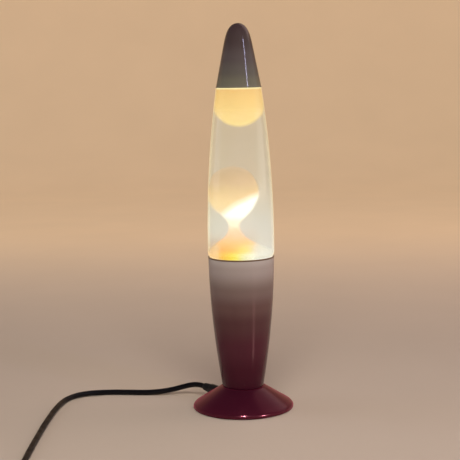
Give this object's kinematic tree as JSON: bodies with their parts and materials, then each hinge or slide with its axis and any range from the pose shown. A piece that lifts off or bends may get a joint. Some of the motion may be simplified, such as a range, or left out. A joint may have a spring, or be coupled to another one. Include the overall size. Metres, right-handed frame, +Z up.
{
  "type": "liquid motion lamp",
  "caption": "Tapered glass bottle of wax and liquid under a pointed metal cap, standing in a waisted metal base with a conical foot, reflector bulb, mains cord, switch and plug.",
  "frame": {"origin": "middle of the underside of the foot's pad", "axes": "+Z up along the lamp's axis, from the foot to the cap's tip; -Y towards the viewer of the picture, +X to the viewer's right"},
  "size_m": [0.235, 0.3597, 0.35],
  "materials": {
    "maroon_paint": "gloss dark red paint on spun metal",
    "cap_paint": "gloss dark red paint on spun metal, a little browner",
    "foam": "matt black foam",
    "black_plastic": "moulded black plastic",
    "cord_sheath": "satin black sheath",
    "clear_glass": "clear polished glass",
    "pale_liquid": "clear pale liquid, a little cloudy",
    "cream_wax": "warm white wax lit from below",
    "zinc": "zinc-plated steel",
    "brass": "bare brass",
    "tinplate": "bright tinned steel",
    "soft_liner": "pale soft sealing disc",
    "holder_plastic": "heat-proof moulded plastic, off white",
    "brown_core": "brown core insulation",
    "blue_core": "blue core insulation",
    "tungsten": "fine dull wire"
  },
  "bodies": {
    "base": {"foot_shell": "maroon_paint", "foot_pad": "foam", "bottom_cover": "black_plastic", "cord_clamp": "black_plastic", "clamp_screw_left": "zinc", "clamp_screw_right": "zinc", "cord_gland": "black_plastic", "cord_inner": "cord_sheath", "base_body": "maroon_paint", "centre_tube": "zinc", "lower_washer": "zinc", "upper_washer": "zinc", "lower_nut": "zinc", "upper_nut": "zinc", "holder_base": "holder_plastic", "holder_core": "holder_plastic", "live_terminal": "brass", "neutral_terminal": "brass", "holder_thread_shell": "brass", "holder_contact": "brass", "holder_sleeve": "holder_plastic", "live_core": "brown_core", "neutral_core": "blue_core", "cord_lead": "cord_sheath", "cord_link": "cord_sheath", "cord_coil": "cord_sheath", "cord_tail": "cord_sheath", "switch_lower_shell": "black_plastic", "switch_upper_shell": "black_plastic", "switch_screw_near": "zinc", "switch_screw_far": "zinc", "switch_contact_in": "brass", "switch_contact_out": "brass", "plug_body": "black_plastic", "plug_pin_left": "brass", "plug_pin_right": "brass"},
    "bottle": {"bottle_glass": "clear_glass", "heating_coil": "zinc", "wax_column": "cream_wax", "wax_float": "cream_wax", "liquid": "pale_liquid", "crown_liner": "soft_liner", "crown_cap": "tinplate"},
    "cap": {"top_cap": "cap_paint"},
    "bulb_base": {"bulb_contact": "tinplate", "bulb_insulator": "black_plastic"},
    "bulb": {"bulb_screw_shell": "tinplate", "bulb_glass": "clear_glass", "bulb_stem": "clear_glass", "bulb_filament": "tungsten"},
    "rocker": {"switch_rocker": "black_plastic"}
  },
  "joints": [
    {"name": "bottle_lift", "type": "slide", "parent": "base", "child": "bottle", "axis": [0, 0, 1], "range_m": [0, 0.06]},
    {"name": "cap_lift", "type": "slide", "parent": "bottle", "child": "cap", "axis": [0, 0, 1], "range_m": [0, 0.06]},
    {"name": "bulb_rise", "type": "slide", "parent": "base", "child": "bulb_base", "axis": [0, 0, 1], "range_m": [0, 0.0113]},
    {"name": "bulb_turn", "type": "hinge", "parent": "bulb_base", "child": "bulb", "pos_m": [0, 0, 0.05], "axis": [0, 0, 1], "range_deg": [0, 1440]},
    {"name": "rocker_tilt", "type": "hinge", "parent": "base", "child": "rocker", "pos_m": [-0.1764, -0.236, 0.0149], "axis": [1, 0, 0], "range_deg": [0, 16]}
  ],
  "couplings": [
    {"joint": "bulb_rise", "follows": "bulb_turn", "m_per_rad": 0.00044882}
  ]
}
